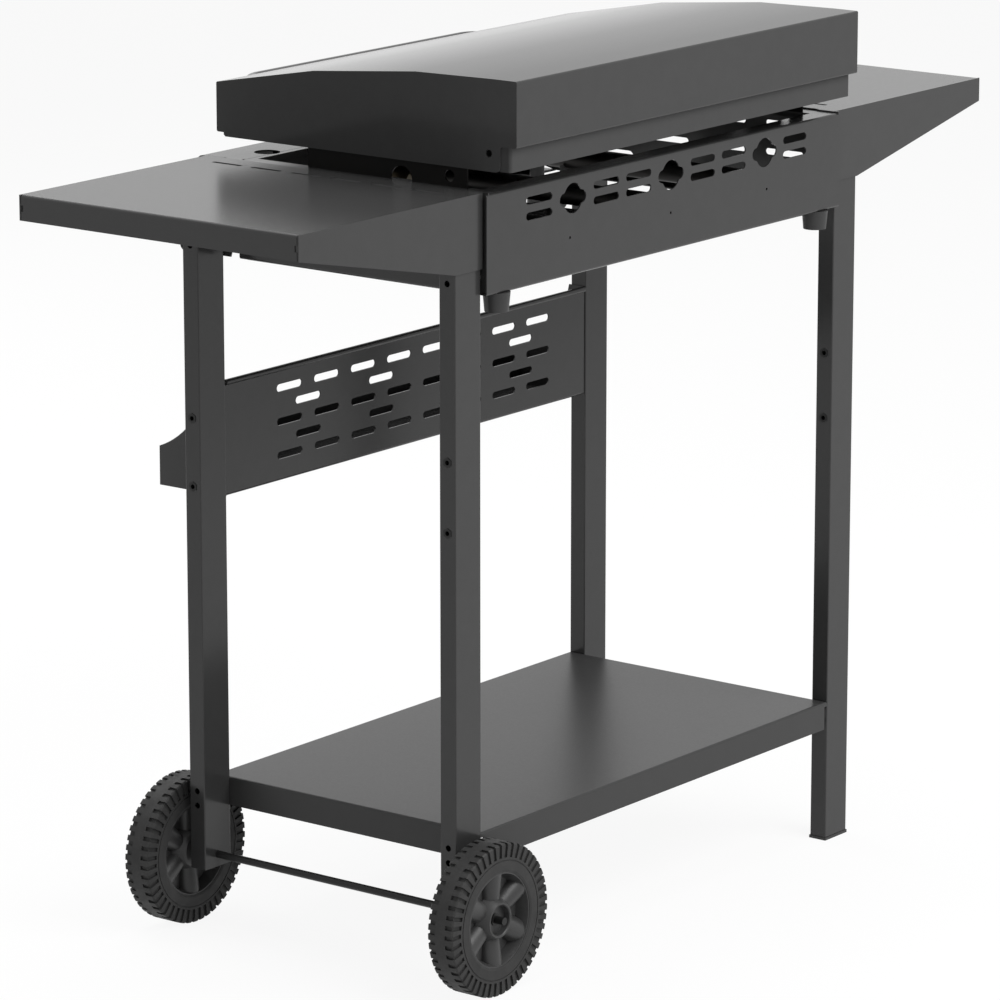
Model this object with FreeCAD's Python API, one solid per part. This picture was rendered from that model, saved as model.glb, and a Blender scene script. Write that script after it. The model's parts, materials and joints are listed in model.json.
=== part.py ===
import FreeCAD, Part
import math
import os

# Outdoor gas griddle station: a two-wheeled cart with side shelves, a griddle head between its
# legs and a hinged lid. Millimetres. The pieces are drawn about the middle of the four legs,
# with +Z up, +Y towards the cook, and -X on the side that has the wheels. The finished pieces
# are shifted along Y so that the origin lies under the middle of the whole object.

V = FreeCAD.Vector
X_AXIS = V(1, 0, 0)
Y_AXIS = V(0, 1, 0)
Z_AXIS = V(0, 0, 1)
ORIGIN = V(0, 0, 0)

# Sheet metal and general clearances
sheet = 1.5
bend = 2.5
running_clearance = 0.05
touch_gap = 0.3
bend_clearance = 0.8
tool_reach = 6.0

# Legs: four rectangular tubes
leg_span = 700.0
leg_depth = 350.0
leg_wide = 40.8
leg_deep = 20.0
leg_wall = 1.5
leg_corner = 1.2
wheel_leg_bottom = 66.0
foot_cap_flange = 3.0
foot_cap_margin = 1.0
foot_cap_insert = 18.0

# Fasteners
bolt_radius = 3.0
bolt_head_radius = 5.0
bolt_head_height = 4.0
bolt_nut_flats = 10.0
bolt_nut_height = 5.0
bolt_hole_radius = 3.3
insert_flats = 9.4
insert_proud = 0.6
insert_depth = 9.0
insert_bore_radius = 2.5

# Heights of the cross holes in the legs
head_bolt_height = 725.2
insert_heights = (546.0, 474.4)
shelf_bolt_heights = (150.0, 134.5)

# Bottom shelf
bottom_shelf_top = 158.0
bottom_shelf_flange = 30.5
shelf_corner_gap = 4.6

# Side shelves with sloping gusset flanges
side_shelf_top = 810.6
side_shelf_reach = 240.4
side_shelf_rim = 25.6
side_shelf_gusset = 75.9
side_shelf_inner_flange = 18.0
shelf_tab_gap = 1.5
side_shelf_relief = 0.8
shelf_slot_count = 6
shelf_slot_pitch = 51.2
shelf_slot_length = 38.5
shelf_slot_width = 5.5
shelf_notch_width = 3.4
shelf_notch_low = 16.5
shelf_notch_high = 10.2
shelf_slot_inset = 16.0

# Wheels and axle
wheel_radius = 79.0
wheel_width = 31.5
wheel_leg_gap = 8.8
axle_radius = 4.0
axle_stub = 5.0
spacer_radius = 7.0
clip_radius = 6.5
clip_thick = 0.8
rim_radius = 48.0
rim_lip = 1.3
rim_floor_radius = 43.5
rim_inset = 1.2
rim_bead = 1.0
rim_bead_flat = 1.5
rim_bead_foot = 3.0
web_thick = 3.0
spoke_count = 6
spoke_root_radius = 10.5
spoke_tip_radius = 14.2
spoke_trim = 0.2
spoke_start = 14.0
boss_mouth_radius = 18.0
boss_foot_radius = 25.0
boss_edge = 1.5
boss_edge_depth = 2.5
hub_cup_mouth_radius = 15.5
hub_cup_floor_radius = 14.5
hub_cup_depth = 7.0
hub_cup_flare = 0.8
lug_count = 48
lug_pocket_width = 4.4
lug_pocket_depth = 2.0
lug_pocket_tread = 9.5
lug_pocket_side = 14.6
tyre_ring_radius = 61.5
tyre_ring_width = 1.2
tyre_ring_depth = 0.6
shoulder_chamfer = 1.5
tyre_bead_edge = 0.8
tyre_bead_rise = 2.5
lug_stagger = 0.25

# Storage rack hung between the two legs on the cook's side
rack_bottom = 457.5
rack_top = 580.4
rack_face_inset = 1.4
rack_reach = 70.3
rack_lip_height = 41.5
rack_bead_radius = 3.2
rack_wing_reach = 2.0
rack_wing_hollow = (34.3, 62.4)
rack_slot_length = 41.0
rack_slot_width = 8.0
rack_slot_first = -204.8
rack_slot_pitch = 61.05
rack_slot_columns = 8
rack_row_top = 556.4
rack_row_pitch = 17.9
rack_rows = 5

# Griddle head: body between the legs
body_gap = 5.0
panel_face_gap = 0.7
body_bottom = 707.4
body_top = 809.1
back_panel_proud = 7.0
back_flange_top = 23.5
back_flange_bottom = 22.0
panel_return = 32.0
side_wall_flange = 20.0
side_wall_lap = 9.0
side_wall_lap_drop = 12.0
side_wall_ledge = body_gap - 2 * sheet - touch_gap
side_wall_ledge_low = 5.3
side_wall_ledge_slope = 4.0
side_slot_count = 4
side_slot_pitch = 75.4
side_slot_rows = (790.0, 758.8)
side_slot_length = 49.0
side_slot_width = 7.0
side_notch_inset = 87.0
side_notch_bottom = 724.0
side_notch_top = 740.0
side_notch_corner = 6.0

# Cut-outs of the back panel
clover_pitch = 167.3
clover_height_mid = 785.8
clover_radius = 15.5
clover_arm_length = 44.0
clover_arm_width = 13.0
clover_fillet = 4.5
vent_slot_columns = (56.0, 111.3, 223.0)
vent_slot_rows = (793.5, 777.8)
vent_slot_length = 43.0
vent_slot_width = 8.0
burner_hole_radius = 1.5
flange_hole_x = 233.4
flange_hole_back = 13.0
flange_hole_radius = 2.5

# Front panel: level deck, sloping fascia, bottom return
deck_back_inset = 47.0
deck_overhang = 16.6
deck_back_flange = 30.0
fascia_overhang = 45.0
fascia_bend = 6.5
fascia_return = 27.0
fascia_window_half = 256.0
fascia_window_rim = 12.0
panel_ear_margin = 5.0
drain_hole_inset = 59.8
drain_hole_back = 18.0
drain_hole_radius = 13.5
deck_screw_inset = 12.1
deck_screw_back = 8.2
deck_screw_radius = 2.2

# Burners
burner_pitch = 172.0
burner_height = 752.5
burner_screw_height = 746.4
burner_radius = 12.0
burner_tail = 8.5
burner_tab_half = 8.0
burner_tab_drop = 6.0
burner_pin_depth = 6.0
burner_body_gap = 33.0
burner_neck_gap = 8.0
burner_mouth_reach = 18.0
burner_neck_radius = 10.0
burner_mouth_radius = 8.5
burner_mouth_depth = 20.0
port_count = 14
port_radius = 1.2
port_depth = 2.0
port_margin = 10.0
electrode_inset = 14.0
electrode_clip_half_x = 6.0
electrode_clip_half_y = 4.0
electrode_clip_lap = 1.5
electrode_clip_rise = 2.0
electrode_body_radius = 2.5
electrode_body_top = 20.0
electrode_tip_radius = 0.8
electrode_tip_top = 26.0
strap_gap = 63.0
strap_width = 23.3
saddle_width = 30.0
saddle_grip = 5.0
strap_joggle = 3.3
strap_end_inset = 3.0
shield_half = 114.0
shield_back_gap = 2.5
shield_front = 115.0
shield_cut_half = 17.0
shield_cut_margin = 3.0

# Valves, manifold and knobs
valve_behind_fascia = 40.0
valve_radius = 9.0
valve_length = 24.0
valve_saddle_half_x = 8.0
valve_saddle_half_y = 7.0
orifice_radius = 0.8
orifice_depth = 8.0
nozzle_radius = 4.5
nozzle_reach = 24.0
stem_radius = 3.0
stem_in_valve = 12.0
manifold_drop = 12.0
manifold_radius = 8.0
manifold_wall = 1.5
manifold_plug = 3.0
bracket_half = 10.0
bracket_ring = 2.0
bracket_thick = 2.0
bracket_bend = 3.0
bracket_flange = 16.0
manifold_end_wheel_side = -190.0
manifold_end_foot_side = 224.0
fascia_centre_height = 760.0
fascia_hole_radius = 7.0
bezel_radius = 27.0
bezel_thick = 2.0
knob_gap = 1.0
knob_skirt_radius = 24.0
knob_skirt_height = 6.0
knob_grip_radius = 18.0
knob_height = 26.0
knob_blade_width = 11.0
knob_collar_radius = 9.9
knob_collar_rise = 4.0
knob_bore_share = 0.6
inlet_radius = 7.94
inlet_length = 14.0
inlet_body_radius = 11.0
inlet_height = 690.0
inlet_nut_flats = 21.0
inlet_nut_end = 22.0
inlet_bore_radius = 4.0
inlet_socket_lap = 6.0

# Feet of the head
foot_inset = 30.8
foot_top_radius = 14.0
foot_bottom_radius = 12.2
foot_height = 19.7
back_foot_inset = 11.0
front_foot_inset = 13.0

# Griddle plate
plate_bottom = 831.0
plate_thick = 4.0
plate_wall = 3.0
plate_side_gap = 17.2
plate_back_inset = 27.0
plate_front_inset = 17.0
plate_back_height = 34.0
plate_front_height = 16.0
plate_slope_back = 90.0
plate_slope_front = 40.0
plate_drain_radius = 9.0
plate_corner = 8.0
skirt_thick = 2.0
skirt_back_inset = 3.0
skirt_front_inset = 101.0
skirt_notch_inset = 85.5
skirt_notch_radius = 13.5
skirt_notch_drop = 0.5
skirt_hole_inset = 25.0
skirt_hole_height = 10.4
skirt_hole_radius = 6.0
plate_post_spread = 150.0
plate_post_inset = 18.0
plate_post_radius = 7.0

# Lid
lid_side_gap = 12.1
lid_back_overhang = 35.0
lid_front_inset = 2.4
lid_top = 922.0
lid_back_edge = 855.9
lid_front_edge = 834.2
lid_crown = ((0.08, 0.0), (0.329, 1.7), (0.668, 13.6), (1.0, 36.7))
lid_bend = 1.2
lid_hem = 9.2
lid_end_bottom = 830.0
lid_end_back_inset = 20.4
lid_end_corner = 6.0
lid_end_notch = 4.0
lip_back_inset = 8.5
lip_bottom = 830.9
lip_corner = 2.5
lip_return_inset = 26.0
hinge_overhang = 0.9
hinge_z = 848.1
hinge_pin_radius = 3.85
hinge_ear_radius = 11.0
hinge_washer_radius = 7.0
hinge_head_radius = 6.5
hinge_head_height = 3.0
hinge_pin_recess = 0.5
hinge_bore_radius = 3.4
hinge_bore_depth = 6.0
handle_radius = 8.0
handle_half = 203.0
handle_bend = 24.0
handle_reach = 51.4
handle_z = 866.5
handle_foot_radius = 11.0
handle_foot_thick = 2.0
bumper_x = 140.0
bumper_inset = 4.6
bumper_radius = 6.0

# Grease cup under the drain hole of the deck
cup_length = 60.0
cup_back_gap = 2.0
cup_width = 50.0
cup_top = 800.0
cup_bottom = 745.0
cup_wall = 1.2
cup_rim = 3.0
cup_corner = 8.0
clip_leaf = 1.0
clip_leaf_length = 20.0
clip_drop = 6.0
clip_flange = 10.0

# Derived places
half_depth = leg_depth / 2
inner_x = leg_span / 2 - leg_wide
leg_x = leg_span / 2 - leg_wide / 2
leg_y = half_depth - leg_deep / 2
leg_top = side_shelf_top - sheet
shelf_inner_x = inner_x - sheet
shelf_outer_x = leg_span / 2 + side_shelf_reach
body_half = inner_x - body_gap
panel_half = inner_x - panel_face_gap
back_face = -half_depth - back_panel_proud
deck_back = half_depth - deck_back_inset
deck_front = half_depth + deck_overhang
fascia_foot = half_depth + fascia_overhang
drain_x = -inner_x + drain_hole_inset
drain_y = deck_back + drain_hole_back
burner_front = deck_back - burner_body_gap
burner_neck_end = deck_back - burner_neck_gap
burner_mouth_end = deck_back + burner_mouth_reach
strap_back = deck_back - strap_gap
plate_half = inner_x - plate_side_gap
plate_back = -half_depth + plate_back_inset
plate_front = half_depth - plate_front_inset
lid_back = -half_depth - lid_back_overhang
lid_front = half_depth - lid_front_inset
lid_end_back = lid_back + lid_end_back_inset
lip_back = lid_back + lip_back_inset
hinge_y = -half_depth - hinge_overhang
handle_y = lid_front + handle_reach
side_wall_x = body_half + sheet
lid_half = inner_x - lid_side_gap
lid_inner = lid_half - sheet
wheel_reach = half_depth + wheel_leg_gap + wheel_width
axle_reach = wheel_reach + axle_stub
rack_front = half_depth + rack_reach
rack_face = half_depth - leg_deep + rack_face_inset
shift_y = (axle_reach - rack_front) / 2
fascia_drop = body_top - body_bottom
fascia_run = fascia_foot - deck_front
fascia_tilt = math.atan2(fascia_run, fascia_drop)
knob_axis = V(0, math.cos(fascia_tilt), math.sin(fascia_tilt))
fascia_centre_y = deck_front + (body_top - fascia_centre_height) * math.tan(fascia_tilt)
valve_y = fascia_centre_y - valve_behind_fascia * math.cos(fascia_tilt)
valve_z = fascia_centre_height - valve_behind_fascia * math.sin(fascia_tilt)
burner_places = (-burner_pitch, 0.0, burner_pitch)
side_names = ((-1, "wheel_side"), (1, "foot_side"))
row_names = ((-1, "back"), (1, "front"))


def box(x0, x1, y0, y1, z0, z1):
    low = V(min(x0, x1), min(y0, y1), min(z0, z1))
    return Part.makeBox(abs(x1 - x0), abs(y1 - y0), abs(z1 - z0), low)


def rod(radius, start, end):
    return Part.makeCylinder(radius, (end - start).Length, start, end - start)


def cone(radius_start, radius_end, start, end):
    return Part.makeCone(radius_start, radius_end, (end - start).Length, start, end - start)


def fuse(shapes):
    whole = shapes[0].multiFuse(shapes[1:]) if len(shapes) > 1 else shapes[0]
    return whole.removeSplitter()


def cut(shape, tools):
    return shape.cut(Part.makeCompound(tools))


def polygon_prism(corners, sweep):
    ring = [V(*corner) for corner in corners]
    return Part.Face(Part.makePolygon(ring + ring[:1])).extrude(sweep)


def hexagon(centre, axis, flats, length):
    # a hexagonal bar that starts at centre and runs along axis
    radius = flats / math.sqrt(3)
    ring = [V(radius * math.cos(math.radians(60 * i)), radius * math.sin(math.radians(60 * i)), 0)
            for i in range(6)]
    bar = Part.Face(Part.makePolygon(ring + ring[:1])).extrude(V(0, 0, length))
    bar.Placement = FreeCAD.Placement(centre, FreeCAD.Rotation(Z_AXIS, axis))
    return bar


def slot_bar(centre, along, through, length, width, depth):
    # a bar with round ends, length along one axis, pushed depth through the sheet both ways
    half = length / 2 - width / 2
    side = through.cross(along)
    middle = centre - through * depth
    ends = [middle + along * half, middle - along * half]
    corners = [ends[0] + side * (width / 2), ends[1] + side * (width / 2),
               ends[1] - side * (width / 2), ends[0] - side * (width / 2)]
    bar = Part.Face(Part.makePolygon(corners + corners[:1])).extrude(through * (2 * depth))
    caps = [rod(width / 2, end, end + through * (2 * depth)) for end in ends]
    return fuse([bar] + caps)


def side_path(points, offset, radius):
    # one side of a bent strip: straight runs joined by arcs about the bends of its middle line
    steps = []
    here = None
    for i in range(len(points)):
        if i > 0:
            run_in = (points[i] - points[i - 1]).normalize()
            left_in = V(-run_in.y, run_in.x, 0)
        if i < len(points) - 1:
            run_out = (points[i + 1] - points[i]).normalize()
            left_out = V(-run_out.y, run_out.x, 0)
        if i == 0:
            here = points[0] + left_out * offset
            continue
        if i == len(points) - 1:
            steps.append((here, points[i] + left_in * offset))
            continue
        turn = math.atan2(run_in.x * run_out.y - run_in.y * run_out.x, run_in.dot(run_out))
        way = 1.0 if turn > 0 else -1.0
        back = radius * math.tan(abs(turn) / 2)
        centre = points[i] - run_in * back + left_in * (way * radius)
        reach = radius - way * offset
        middle = (left_in + left_out).normalize()
        start = centre - left_in * (way * reach)
        stop = centre - left_out * (way * reach)
        steps.append((here, start))
        steps.append((start, centre - middle * (way * reach), stop))
        here = stop
    return steps


def strip_face(points, thick, radius, place):
    # a flat face shaped like the edge of a bent sheet, whose middle line runs through points
    flat = [V(a, b, 0) for a, b in points]
    left = side_path(flat, thick / 2, radius)
    right = side_path(flat, -thick / 2, radius)
    back = [tuple(reversed(step)) for step in reversed(right)]
    loop = left + [(left[-1][-1], right[-1][-1])] + back + [(right[0][0], left[0][0])]
    edges = []
    for step in loop:
        spots = [place(p.x, p.y) for p in step]
        if len(spots) == 3:
            edges.append(Part.Arc(*spots).toShape())
        else:
            edges.append(Part.LineSegment(*spots).toShape())
    return Part.Face(Part.Wire(edges))


def sheet_along_x(points, x0, x1, radius=bend, thick=sheet):
    face = strip_face(points, thick, radius, lambda y, z: V(x0, y, z))
    return face.extrude(V(x1 - x0, 0, 0))


def sheet_along_y(points, y0, y1, radius=bend, thick=sheet):
    face = strip_face(points, thick, radius, lambda x, z: V(x, y0, z))
    return face.extrude(V(0, y1 - y0, 0))


def sheet_along_z(points, z0, z1, radius=bend, thick=sheet):
    face = strip_face(points, thick, radius, lambda x, y: V(x, y, z0))
    return face.extrude(V(0, 0, z1 - z0))


def mirrored(shape):
    return shape.mirror(ORIGIN, X_AXIS)


def on_side(shape, side):
    # shapes are drawn on the foot side (+X) and mirrored for the wheel side
    return shape if side > 0 else mirrored(shape)


def save(name, shape):
    moved = shape.copy()
    moved.translate(V(0, shift_y, 0))
    moved.exportStep("parts/" + name + ".step")


# Cart

def leg(side, row):
    bottom = wheel_leg_bottom if side < 0 else foot_cap_flange
    y_mid = row * leg_y
    tube = box(inner_x, leg_span / 2, y_mid - leg_deep / 2, y_mid + leg_deep / 2, bottom, leg_top)
    tube = tube.makeFillet(leg_corner, upright_edges(tube))
    hollow = box(inner_x + leg_wall, leg_span / 2 - leg_wall,
                 y_mid - leg_deep / 2 + leg_wall, y_mid + leg_deep / 2 - leg_wall,
                 bottom - 1, leg_top + 1)
    tools = [hollow]
    for z in (head_bolt_height,) + shelf_bolt_heights:
        tools.append(rod(bolt_hole_radius, V(inner_x - 1, y_mid, z), V(leg_span / 2 + 1, y_mid, z)))
    for z in insert_heights:
        tools.append(hexagon(V(inner_x - 1, y_mid, z), X_AXIS, insert_flats, leg_wide + 2))
    if side < 0:
        low = V(leg_x, y_mid - leg_deep, wheel_radius)
        tools.append(rod(axle_radius, low, low + Y_AXIS * (2 * leg_deep)))
    return on_side(cut(tube, tools), side)


def upright_edges(shape):
    return [e for e in shape.Edges
            if len(e.Vertexes) == 2 and abs(e.Vertexes[0].Z - e.Vertexes[1].Z) > e.Length * 0.99]


def foot_caps():
    caps = []
    for row, _ in row_names:
        y_mid = row * leg_y
        m = foot_cap_margin
        w = leg_wall + touch_gap
        plate = box(inner_x - m, leg_span / 2 + m, y_mid - leg_deep / 2 - m,
                    y_mid + leg_deep / 2 + m, 0, foot_cap_flange)
        plate = plate.makeFillet(leg_corner, upright_edges(plate))
        plug = box(inner_x + w, leg_span / 2 - w, y_mid - leg_deep / 2 + w,
                   y_mid + leg_deep / 2 - w, foot_cap_flange, foot_cap_insert)
        caps.append(fuse([plate, plug]))
    return Part.makeCompound(caps)


def insert_nuts():
    nuts = []
    for side, _ in side_names:
        for row, _ in row_names:
            for z in insert_heights:
                outer = V(leg_span / 2 + insert_proud, row * leg_y, z)
                nuts.append(on_side(insert_nut(outer, -X_AXIS, insert_proud), side))
                if row < 0:
                    inner = V(inner_x - insert_proud, row * leg_y, z)
                    nuts.append(on_side(insert_nut(inner, X_AXIS, insert_proud), side))
                else:
                    nuts.append(on_side(insert_nut(V(inner_x, row * leg_y, z), X_AXIS, 0), side))
    return Part.makeCompound(nuts)


def insert_nut(start, axis, proud):
    body = hexagon(start, axis, insert_flats, proud + insert_depth)
    bore = rod(insert_bore_radius, start - axis, start + axis * (insert_depth + proud + 1))
    return body.cut(bore)


def cross_bolt(y, z, head_face, nut_face):
    # a bolt along X with its head inside the cart and its nut inside the leg tube
    start = V(head_face - bolt_head_height, y, z)
    seat = V(head_face, y, z)
    head = rod(bolt_head_radius, start, seat)
    shank = rod(bolt_radius, seat, V(nut_face + bolt_nut_height + 2, y, z))
    nut = hexagon(V(nut_face, y, z), X_AXIS, bolt_nut_flats, bolt_nut_height)
    return fuse([head, shank, nut])


def cross_bolts(heights, head_face):
    bolts = []
    for side, _ in side_names:
        for row, _ in row_names:
            for z in heights:
                bolt = cross_bolt(row * leg_y, z, head_face, inner_x + leg_wall)
                bolts.append(on_side(bolt, side))
    return Part.makeCompound(bolts)


def pressed_tray(half_x, half_y, low, top, radius):
    # a block whose upper edges are rounded all the way round
    block = box(-half_x, half_x, -half_y, half_y, low, top)
    upper = [e for e in block.Edges if all(abs(v.Z - top) < 0.01 for v in e.Vertexes)]
    return block.makeFillet(radius, upper)


def bottom_shelf():
    half_x = inner_x
    half_y = half_depth
    low = bottom_shelf_top - bottom_shelf_flange
    outer = pressed_tray(half_x, half_y, low, bottom_shelf_top, bend)
    inner = pressed_tray(half_x - sheet, half_y - sheet, low - 1, bottom_shelf_top - sheet, bend - sheet)
    tools = [inner]
    for side, _ in side_names:
        for row, _ in row_names:
            tools.append(box(side * (half_x - shelf_corner_gap), side * (half_x + 1),
                             row * (half_y - shelf_corner_gap), row * (half_y + 1),
                             low - 1, bottom_shelf_top - 2 * bend))
    for row, _ in row_names:
        for z in shelf_bolt_heights:
            tools.append(rod(bolt_radius, V(-half_x - 1, row * leg_y, z),
                             V(half_x + 1, row * leg_y, z)))
    return cut(outer, tools)


def side_shelf(side):
    half_y = half_depth
    top = side_shelf_top - sheet / 2
    low = side_shelf_top - side_shelf_rim
    inner = shelf_inner_x + sheet / 2
    outer = shelf_outer_x - sheet / 2
    panel = sheet_along_y([(inner + bend + 1, top), (outer, top), (outer, low)],
                          -half_y + side_shelf_relief, half_y - side_shelf_relief)
    plate = box(shelf_inner_x, outer - bend, -half_y, half_y, side_shelf_top - sheet, side_shelf_top)
    inner_y = half_y - leg_deep - 1
    tongue = sheet_along_y([(inner, side_shelf_top - side_shelf_inner_flange), (inner, top),
                            (inner + bend + 2, top)], -inner_y, inner_y, sheet / 2 + 0.5)
    pieces = [panel, plate, tongue]
    for row, _ in row_names:
        start = row * half_y
        outline = [(shelf_inner_x, start, side_shelf_top - side_shelf_gusset),
                   (leg_span / 2, start, side_shelf_top - side_shelf_gusset),
                   (shelf_outer_x, start, low),
                   (shelf_outer_x, start, side_shelf_top),
                   (shelf_inner_x, start, side_shelf_top)]
        pieces.append(polygon_prism(outline, V(0, row * sheet, 0)))
        pieces.append(box(body_half + shelf_tab_gap, shelf_inner_x + 1, row * (half_y - leg_deep), start,
                          side_shelf_top - sheet, side_shelf_top))
    slots = []
    for row, _ in row_names:
        slots.append(box(shelf_outer_x - 2 * sheet, shelf_outer_x + 1, row * (half_y - shelf_notch_width),
                         row * half_y, side_shelf_top - shelf_notch_low, side_shelf_top - shelf_notch_high))
    for i in range(shelf_slot_count):
        y = (i - (shelf_slot_count - 1) / 2) * shelf_slot_pitch
        slots.append(slot_bar(V(leg_span / 2 - shelf_slot_inset, y, top), Y_AXIS, Z_AXIS,
                              shelf_slot_length, shelf_slot_width, 3 * sheet))
    return on_side(cut(fuse(pieces), slots), side)


def storage_rack():
    face_mid = rack_face + sheet / 2
    floor = rack_bottom + sheet / 2
    front_mid = rack_front - sheet / 2
    lip_top = rack_bottom + rack_lip_height
    bead_z = rack_top - rack_bead_radius
    trough = sheet_along_x([(face_mid, bead_z), (face_mid, floor), (front_mid, floor),
                            (front_mid, lip_top)], -inner_x + sheet, inner_x - sheet)
    bead_start = V(-inner_x + sheet, rack_face, bead_z)
    bead = rod(rack_bead_radius, bead_start, bead_start + X_AXIS * (2 * (inner_x - sheet)))
    pieces = [trough, bead, rack_wing(), mirrored(rack_wing())]
    slots = []
    for row in range(rack_rows):
        z = rack_row_top - row * rack_row_pitch
        for column in range(rack_slot_columns):
            x = rack_slot_first + column * rack_slot_pitch
            if row % 2 == 1:
                if column % 2 == 1:
                    continue
                x += rack_slot_pitch / 2
            slots.append(slot_bar(V(x, face_mid, z), X_AXIS, Y_AXIS,
                                  rack_slot_length, rack_slot_width, 3 * sheet))
    holes = []
    for z in insert_heights:
        holes.append(rod(bolt_radius, V(-inner_x - 1, leg_y, z), V(inner_x + 1, leg_y, z)))
    return cut(cut(fuse(pieces), slots), holes)


def rack_wing():
    # end plate of the rack, its front edge a hollow curve down to the lip
    lip_top = rack_bottom + rack_lip_height
    start_y = half_depth + rack_wing_reach
    x = inner_x - sheet
    a = V(x, rack_face, rack_bottom)
    b = V(x, rack_front, rack_bottom)
    c = V(x, rack_front, lip_top)
    d = V(x, start_y, rack_top)
    e = V(x, rack_face, rack_top)
    hollow = V(x, rack_front - rack_wing_hollow[0], rack_bottom + rack_wing_hollow[1])
    curve = Part.Arc(c, hollow, d).toShape()
    lines = [Part.LineSegment(a, b).toShape(), Part.LineSegment(b, c).toShape(), curve,
             Part.LineSegment(d, e).toShape(), Part.LineSegment(e, a).toShape()]
    return Part.Face(Part.Wire(lines)).extrude(V(sheet, 0, 0))


def rack_bolts():
    bolts = []
    seat = inner_x - sheet
    for side, _ in side_names:
        for z in insert_heights:
            head = rod(bolt_head_radius, V(seat - bolt_head_height, leg_y, z), V(seat, leg_y, z))
            shank = rod(insert_bore_radius, V(seat, leg_y, z), V(inner_x + insert_depth, leg_y, z))
            bolts.append(on_side(fuse([head, shank]), side))
    return Part.makeCompound(bolts)


# Wheels: drawn with the axle along Y, the outer face towards -Y

def axle():
    start = V(-leg_x, -axle_reach, wheel_radius)
    return rod(axle_radius, start, start + Y_AXIS * (2 * axle_reach))


def axle_spacers():
    spacers = []
    for row, _ in row_names:
        start = V(-leg_x, row * half_depth, wheel_radius)
        end = V(-leg_x, row * (half_depth + wheel_leg_gap - touch_gap), wheel_radius)
        spacers.append(rod(spacer_radius, start, end).cut(rod(axle_radius, start, end)))
    return Part.makeCompound(spacers)


def axle_clips():
    clips = []
    for row, _ in row_names:
        floor = wheel_reach - hub_cup_depth
        start = V(-leg_x, row * (floor + touch_gap), wheel_radius)
        end = V(-leg_x, row * (floor + touch_gap + clip_thick), wheel_radius)
        clips.append(rod(clip_radius, start, end).cut(rod(axle_radius, start, end)))
    return Part.makeCompound(clips)


def turned(outline):
    # a ring or disc from an outline of (radius, place along the axle)
    ring = [V(r, w, 0) for r, w in outline]
    return Part.Face(Part.makePolygon(ring + ring[:1])).revolve(ORIGIN, Y_AXIS, 360)


def wheel_hub():
    half = wheel_width / 2
    rim_half = half - rim_inset
    bore = axle_radius + running_clearance
    edge = rim_radius + rim_bead
    rim = turned([(edge - rim_lip, -rim_half), (edge, -rim_half), (edge, -rim_half + rim_bead_flat),
                  (rim_radius, -rim_half + rim_bead_foot), (rim_radius, rim_half - rim_bead_foot),
                  (edge, rim_half - rim_bead_flat),
                  (edge, rim_half), (edge - rim_lip, rim_half), (rim_floor_radius, web_thick / 2),
                  (rim_floor_radius, -web_thick / 2)])
    web = turned([(bore, -web_thick / 2), (rim_radius - 1, -web_thick / 2),
                  (rim_radius - 1, web_thick / 2), (bore, web_thick / 2)])
    boss = turned([(bore, -half + hub_cup_depth), (hub_cup_floor_radius, -half + hub_cup_depth),
                   (hub_cup_mouth_radius, -half + 1), (hub_cup_mouth_radius + hub_cup_flare, -half),
                   (boss_mouth_radius, -half),
                   (boss_mouth_radius + boss_edge, -half + boss_edge_depth),
                   (boss_foot_radius, -3), (boss_foot_radius, 3),
                   (boss_mouth_radius + 1, half - 2), (boss_mouth_radius - 1, half), (bore, half)])
    spokes = []
    for i in range(spoke_count):
        angle = math.pi / 2 + 2 * math.pi * i / spoke_count
        way = V(math.cos(angle), 0, math.sin(angle))
        spoke = cone(spoke_root_radius, spoke_tip_radius, way * spoke_start, way * rim_radius)
        spokes.append(spoke.common(rod(rim_radius - spoke_trim, -Y_AXIS * half, Y_AXIS * half)))
    cup = turned([(0, -half - 1), (hub_cup_mouth_radius + hub_cup_flare, -half - 1),
                  (hub_cup_mouth_radius + hub_cup_flare, -half),
                  (hub_cup_mouth_radius, -half + 1), (hub_cup_floor_radius, -half + hub_cup_depth),
                  (0, -half + hub_cup_depth)])
    hole = rod(bore, V(0, -wheel_width, 0), V(0, wheel_width, 0))
    return cut(fuse([rim, web, boss] + spokes), [cup, hole])


def wheel_tyre():
    half = wheel_width / 2
    r = wheel_radius
    c = shoulder_chamfer
    seat = rim_radius + running_clearance
    bead = seat + rim_bead
    rim_half = half - rim_inset
    ring_in = tyre_ring_radius - tyre_ring_width / 2
    ring_out = tyre_ring_radius + tyre_ring_width / 2
    deep = half - tyre_ring_depth
    side = [(bead, half - tyre_bead_edge), (bead + tyre_bead_rise, half), (ring_in, half), (ring_in, deep),
            (ring_out, deep), (ring_out, half), (r - c, half), (r, half - c)]
    outline = [(seat, -rim_half + rim_bead_foot), (bead, -rim_half + rim_bead_flat)]
    outline += [(a, -w) for a, w in side]
    outline += list(reversed(side))
    outline += [(bead, rim_half - rim_bead_flat), (seat, rim_half - rim_bead_foot)]
    pockets = []
    for i in range(lug_count):
        for face in (-1, 1):
            turn = 360.0 * (i + (lug_stagger if face > 0 else 0.0)) / lug_count
            pocket = lug_pocket(face)
            pocket.rotate(ORIGIN, Y_AXIS, turn)
            pockets.append(pocket)
    return cut(turned(outline), pockets)


def lug_pocket(face):
    # an L that wraps the shoulder: a shallow recess in the tread and in the side wall
    half = wheel_width / 2
    deep = lug_pocket_depth
    r = wheel_radius
    outline = [(r - deep, half - lug_pocket_tread), (r + 2, half - lug_pocket_tread),
               (r + 2, half + 2), (r - lug_pocket_side, half + 2),
               (r - lug_pocket_side, half - deep), (r - deep, half - deep)]
    ring = [V(a, face * w, -lug_pocket_width / 2) for a, w in outline]
    return Part.Face(Part.makePolygon(ring + ring[:1])).extrude(V(0, 0, lug_pocket_width))


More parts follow.
